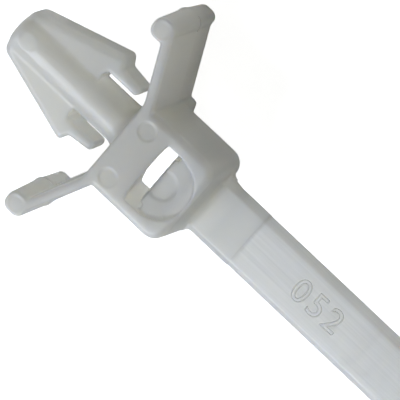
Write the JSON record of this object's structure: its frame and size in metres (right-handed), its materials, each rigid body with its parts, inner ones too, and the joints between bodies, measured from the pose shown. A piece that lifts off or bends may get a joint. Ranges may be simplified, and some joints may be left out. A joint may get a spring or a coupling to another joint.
{
  "type": "push-mount cable tie",
  "caption": "One-piece nylon cable tie with a toothed strap, a pawl head, a barbed arrowhead that snaps into a panel hole, and sprung wings that press on the panel.",
  "frame": {"origin": "on the arrow's axis, in the plane where the wings' feet press on the panel, at the middle of the strap's thickness", "axes": "+X runs along the strap from the head to the tip of the tail, so the arrow points to -X; +Z is the smooth side of the strap, where the tail leaves the head; -Z is the toothed side; Y is across the strap"},
  "size_m": [0.1555, 0.018, 0.0094],
  "materials": {
    "natural_nylon": "natural nylon 6/6, injection moulded, milky and slightly translucent, semi-matt"
  },
  "bodies": {
    "root": {"cable_tie": "natural_nylon"}
  },
  "joints": []
}
